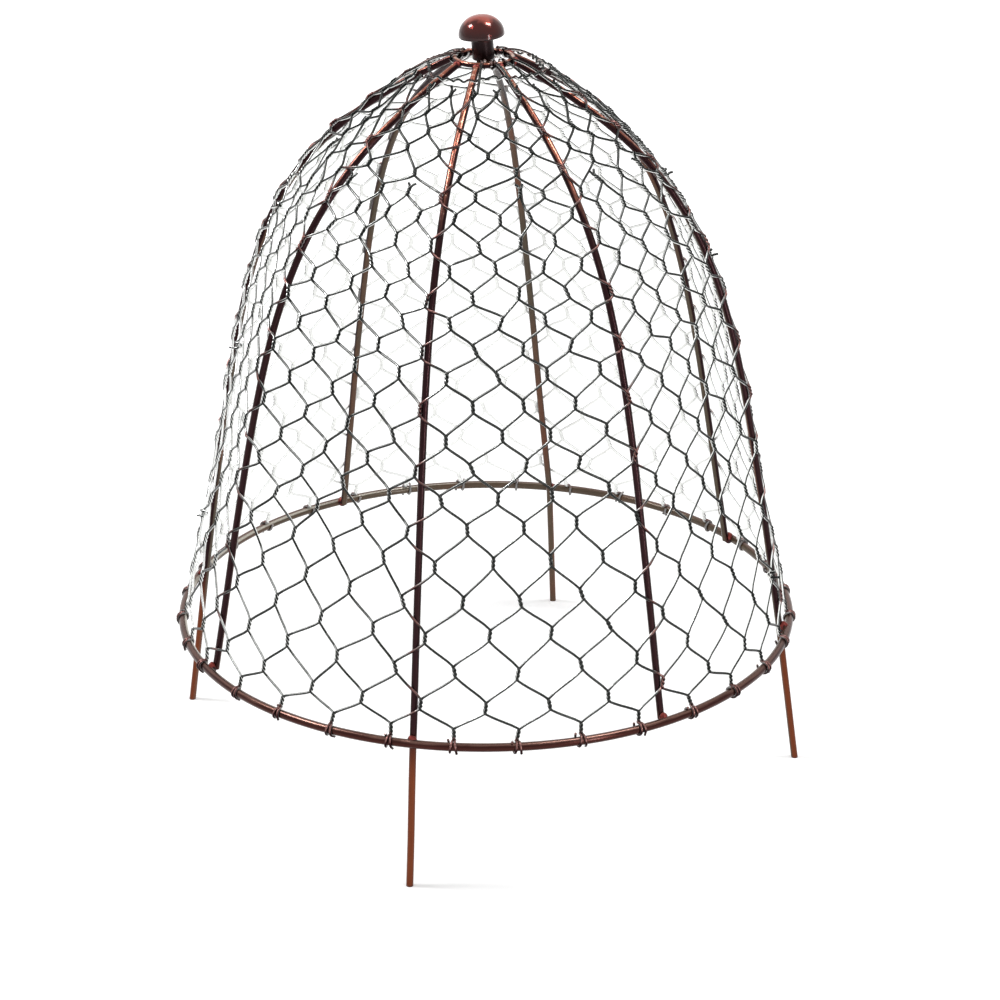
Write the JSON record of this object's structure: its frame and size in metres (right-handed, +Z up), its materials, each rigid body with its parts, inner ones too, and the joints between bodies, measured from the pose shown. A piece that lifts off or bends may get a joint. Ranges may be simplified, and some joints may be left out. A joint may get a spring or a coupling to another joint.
{
  "type": "wire plant protector",
  "caption": "Bell-shaped garden cloche: bent steel rods on a base ring, covered with hexagonal wire netting, with splayed legs to push into soil and a mushroom knob to lift it by.",
  "frame": {"origin": "On the ground under the knob: the middle of the circle of leg tips, at the height of the flat-cut tips.", "axes": "+Z is up along the bell's axis. The front leg points to -Y and the right leg to +X."},
  "size_m": [0.4699, 0.47, 0.5499],
  "materials": {
    "frame_paint": "glossy oxblood-brown paint, worn to copper brown on the crests",
    "knob_paint": "glossy red-brown paint",
    "netting_wire": "charcoal coated wire with a grey sheen",
    "screw_steel": "plain zinc-plated steel"
  },
  "bodies": {
    "root": {"knob_cap": "knob_paint", "knob_stem": "knob_paint", "knob_screw": "screw_steel", "hub_strap": "frame_paint", "top_ring": "frame_paint", "base_ring": "frame_paint", "leg_rib_front": "frame_paint", "leg_rib_right": "frame_paint", "leg_rib_back": "frame_paint", "leg_rib_left": "frame_paint", "short_rib_front_right": "frame_paint", "short_rib_back_right": "frame_paint", "short_rib_back_left": "frame_paint", "short_rib_front_left": "frame_paint", "netting_panel_1": "netting_wire", "netting_panel_2": "netting_wire", "netting_panel_3": "netting_wire", "netting_panel_4": "netting_wire", "netting_panel_5": "netting_wire", "netting_panel_6": "netting_wire", "netting_panel_7": "netting_wire", "netting_panel_8": "netting_wire"}
  },
  "joints": []
}
